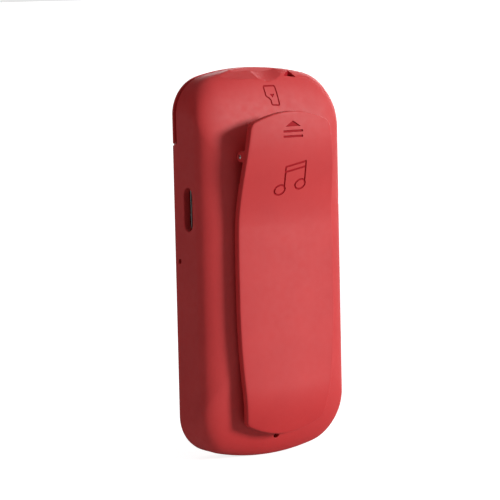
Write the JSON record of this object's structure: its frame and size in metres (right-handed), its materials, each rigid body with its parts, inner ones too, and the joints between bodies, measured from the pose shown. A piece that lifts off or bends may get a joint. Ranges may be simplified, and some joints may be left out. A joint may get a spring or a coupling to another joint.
{
  "type": "digital audio player",
  "caption": "Pocket audio player with a small screen, round key pad, card slot, USB and headphone ports, and a sprung belt clip on its back.",
  "frame": {"origin": "centre of the bounding box at its lowest point, below the middle of the case", "axes": "+X is the right-hand side seen from the screen, -Y the screen side, +Y the clip side, +Z the top of the player"},
  "size_m": [0.033, 0.0184, 0.076],
  "materials": {
    "coral_plastic": "soft-touch coral plastic",
    "clip_plastic": "soft-touch coral plastic",
    "key_plastic": "satin coral plastic",
    "light_key_plastic": "satin off-white plastic",
    "lens_acrylic": "polished smoked acrylic",
    "black_foam": "closed-cell foam",
    "display_glass": "polished glass module",
    "white_plastic": "moulded",
    "amber_film": "polyimide film",
    "green_laminate": "solder mask",
    "dome_film": "clear film over steel domes",
    "chip_resin": "moulded resin",
    "ceramic": "ceramic with tinned ends",
    "plated_steel": "nickel plated",
    "black_plastic": "moulded",
    "cell_foil": "laminated pouch",
    "yellow_tape": "polyimide tape",
    "lead_insulation": "PVC insulation",
    "screw_steel": "machine screws",
    "pin_steel": "ground pin",
    "spring_steel": "spring wire"
  },
  "bodies": {
    "case": {"rear_shell": "coral_plastic", "front_shell": "coral_plastic", "screen_bezel": "coral_plastic", "screen_lens": "lens_acrylic", "lens_gasket": "black_foam", "display_panel": "display_glass", "display_holder": "white_plastic", "display_flex": "amber_film", "main_board": "green_laminate", "dome_sheet": "dome_film", "processor_chip": "chip_resin", "memory_chip": "chip_resin", "radio_chip": "chip_resin", "board_components": "ceramic", "usb_socket": "plated_steel", "card_socket": "plated_steel", "microphone": "plated_steel", "headphone_jack": "black_plastic", "reset_switch": "black_plastic", "battery": "cell_foil", "battery_tape": "yellow_tape", "battery_leads": "lead_insulation", "board_screws": "screw_steel", "clip_spring": "spring_steel"},
    "clip": {"belt_clip": "clip_plastic", "hinge_pin": "pin_steel"},
    "play_key": {"play_button": "light_key_plastic"},
    "volume_up_key": {"volume_up_button": "key_plastic"},
    "volume_down_key": {"volume_down_button": "key_plastic"},
    "next_key": {"next_button": "key_plastic"},
    "previous_key": {"previous_button": "key_plastic"}
  },
  "joints": [
    {"name": "clip_hinge", "type": "hinge", "parent": "case", "child": "clip", "pos_m": [0, 0.00535, 0.0595], "axis": [1, 0, 0], "range_deg": [0, 24], "stiffness_Nm_per_rad": 0.05, "springref_deg": -28.65, "deforming": ["clip_spring"]},
    {"name": "play_press", "type": "slide", "parent": "case", "child": "play_key", "axis": [0, 1, 0], "range_m": [0, 0.0003], "stiffness_N_per_m": 500},
    {"name": "volume_up_press", "type": "slide", "parent": "case", "child": "volume_up_key", "axis": [0, 1, 0], "range_m": [0, 0.0003], "stiffness_N_per_m": 500},
    {"name": "volume_down_press", "type": "slide", "parent": "case", "child": "volume_down_key", "axis": [0, 1, 0], "range_m": [0, 0.0003], "stiffness_N_per_m": 500},
    {"name": "next_press", "type": "slide", "parent": "case", "child": "next_key", "axis": [0, 1, 0], "range_m": [0, 0.0003], "stiffness_N_per_m": 500},
    {"name": "previous_press", "type": "slide", "parent": "case", "child": "previous_key", "axis": [0, 1, 0], "range_m": [0, 0.0003], "stiffness_N_per_m": 500}
  ]
}
